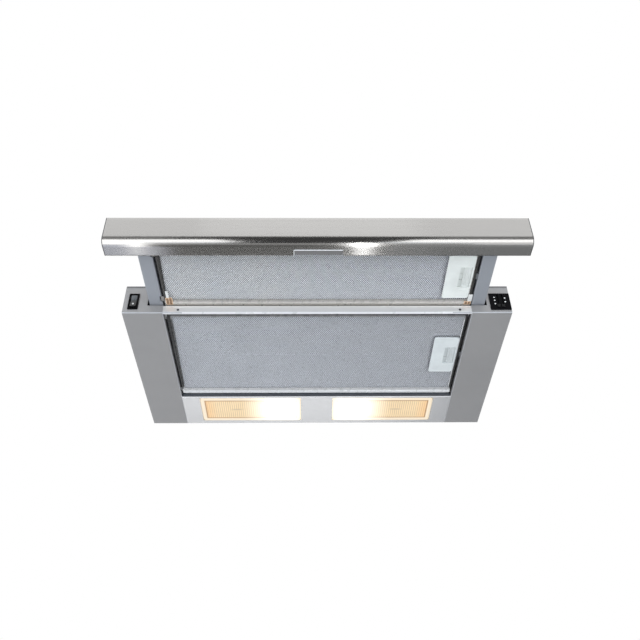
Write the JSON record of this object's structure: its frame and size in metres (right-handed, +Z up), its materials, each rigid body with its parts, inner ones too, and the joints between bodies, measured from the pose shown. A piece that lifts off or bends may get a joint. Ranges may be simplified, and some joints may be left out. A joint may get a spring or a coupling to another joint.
{
  "type": "pull out range hood",
  "caption": "Telescopic cooker hood for a wall cabinet, with a pull out filter drawer, a fixed filter, lamps, front switches and a blower in a motor box.",
  "frame": {"origin": "centre of the four cabinet screws, in the plane of the side housings' tops that meets the cabinet", "axes": "+X to the right seen from the front, +Y from the front to the rear, +Z up"},
  "size_m": [0.598, 0.456, 0.2136],
  "materials": {
    "painted_steel": "satin grey paint",
    "arm_paint": "satin blue-grey paint",
    "stainless": "fine horizontal brushing",
    "zinc_steel": "zinc-plated sheet",
    "aluminium_rim": "bright folded sheet",
    "aluminium_net": "expanded foil",
    "latch_plastic": "pale moulded plastic",
    "black_plastic": "black moulded plastic",
    "grey_plastic": "dark grey moulded plastic",
    "casing_plastic": "moulded plastic",
    "lens_plastic": "ribbed clear plastic, lit warm",
    "lamp_glass": "frosted glass",
    "ceramic": "white moulded socket",
    "lamp_box_white": "white reflector paint",
    "motor_steel": "dark enamelled laminations",
    "shaft_steel": "ground steel",
    "rubber": "soft black rubber",
    "board": "circuit board"
  },
  "bodies": {
    "frame": {"side_housing_left": "painted_steel", "side_housing_right": "painted_steel", "front_crossbar": "painted_steel", "crossbar_screws": "shaft_steel", "rear_panel": "painted_steel", "lamp_panel": "painted_steel", "lamp_box": "lamp_box_white", "lamp_holder_left": "ceramic", "lamp_holder_right": "ceramic", "lamp_left": "lamp_glass", "lamp_right": "lamp_glass", "upper_housing": "painted_steel", "top_plate": "zinc_steel", "outlet_collar": "grey_plastic", "blower_casing": "casing_plastic", "blower_gasket": "rubber", "blower_screws": "shaft_steel", "motor": "motor_steel", "motor_bracket": "zinc_steel", "capacitor": "ceramic", "terminal_box": "black_plastic", "terminal_lid": "grey_plastic", "cable_gland": "black_plastic", "guide_rail_left": "zinc_steel", "guide_rail_right": "zinc_steel", "rocker_bezel": "black_plastic", "rocker_base": "grey_plastic", "control_bezel": "black_plastic", "control_board": "board"},
    "lens_left": {"lamp_lens_left": "lens_plastic"},
    "lens_right": {"lamp_lens_right": "lens_plastic"},
    "flap_rear": {"damper_flap_rear": "grey_plastic"},
    "flap_front": {"damper_flap_front": "grey_plastic"},
    "fan": {"fan_wheel": "grey_plastic", "fan_shaft": "shaft_steel"},
    "rocker": {"rocker": "grey_plastic"},
    "speed_slider": {"speed_slider": "grey_plastic"},
    "light_slider": {"light_slider": "grey_plastic"},
    "fixed_filter": {"fixed_filter_frame": "aluminium_rim", "fixed_filter_mesh": "aluminium_net", "fixed_latch_plate": "latch_plastic"},
    "fixed_latch": {"fixed_latch": "latch_plastic"},
    "drawer": {"handle_bar": "stainless", "handle_cap_left": "stainless", "handle_cap_right": "stainless", "drawer_arm_left": "arm_paint", "drawer_arm_right": "arm_paint", "drawer_cover": "zinc_steel", "drawer_cross_rail": "zinc_steel", "glide_blocks": "casing_plastic"},
    "drawer_filter": {"drawer_filter_frame": "aluminium_rim", "drawer_filter_mesh": "aluminium_net", "drawer_latch_plate": "latch_plastic"},
    "drawer_latch": {"drawer_latch": "latch_plastic"}
  },
  "joints": [
    {"name": "drawer_slide", "type": "slide", "parent": "frame", "child": "drawer", "axis": [0, -1, 0], "range_m": [-0.118, 0]},
    {"name": "drawer_filter_tilt", "type": "hinge", "parent": "drawer", "child": "drawer_filter", "pos_m": [-0.236, -0.22575, -0.0384], "axis": [0, 1, 0], "range_deg": [0, 60]},
    {"name": "drawer_latch_slide", "type": "slide", "parent": "drawer_filter", "child": "drawer_latch", "axis": [-1, 0, 0], "range_m": [0, 0.005], "stiffness_N_per_m": 300},
    {"name": "fixed_filter_tilt", "type": "hinge", "parent": "frame", "child": "fixed_filter", "pos_m": [-0.236, -0.0532, -0.0498], "axis": [0, 1, 0], "range_deg": [0, 60]},
    {"name": "fixed_latch_slide", "type": "slide", "parent": "fixed_filter", "child": "fixed_latch", "axis": [-1, 0, 0], "range_m": [0, 0.005], "stiffness_N_per_m": 300},
    {"name": "rocker_tilt", "type": "hinge", "parent": "frame", "child": "rocker", "pos_m": [-0.2837, -0.16, -0.0323], "axis": [1, 0, 0], "range_deg": [0, 12]},
    {"name": "speed_slide", "type": "slide", "parent": "frame", "child": "speed_slider", "axis": [0, 0, 1], "range_m": [0, 0.02]},
    {"name": "light_slide", "type": "slide", "parent": "frame", "child": "light_slider", "axis": [0, 0, 1], "range_m": [0, 0.02]},
    {"name": "fan_spin", "type": "hinge", "parent": "frame", "child": "fan", "pos_m": [0, -0.015, 0.063], "axis": [1, 0, 0], "continuous": true},
    {"name": "flap_rear_swing", "type": "hinge", "parent": "frame", "child": "flap_rear", "pos_m": [0, 0.008, 0.1296], "axis": [1, 0, 0], "range_deg": [0, 80]},
    {"name": "flap_front_swing", "type": "hinge", "parent": "frame", "child": "flap_front", "pos_m": [0, 0, 0.1296], "axis": [1, 0, 0], "range_deg": [-80, 0]},
    {"name": "lens_left_tilt", "type": "hinge", "parent": "frame", "child": "lens_left", "pos_m": [-0.1175, 0.133, -0.0556], "axis": [1, 0, 0], "range_deg": [0, 80]},
    {"name": "lens_right_tilt", "type": "hinge", "parent": "frame", "child": "lens_right", "pos_m": [0.1175, 0.133, -0.0556], "axis": [1, 0, 0], "range_deg": [0, 80]}
  ],
  "couplings": [
    {"joint": "flap_front_swing", "follows": "flap_rear_swing", "ratio": -1}
  ]
}
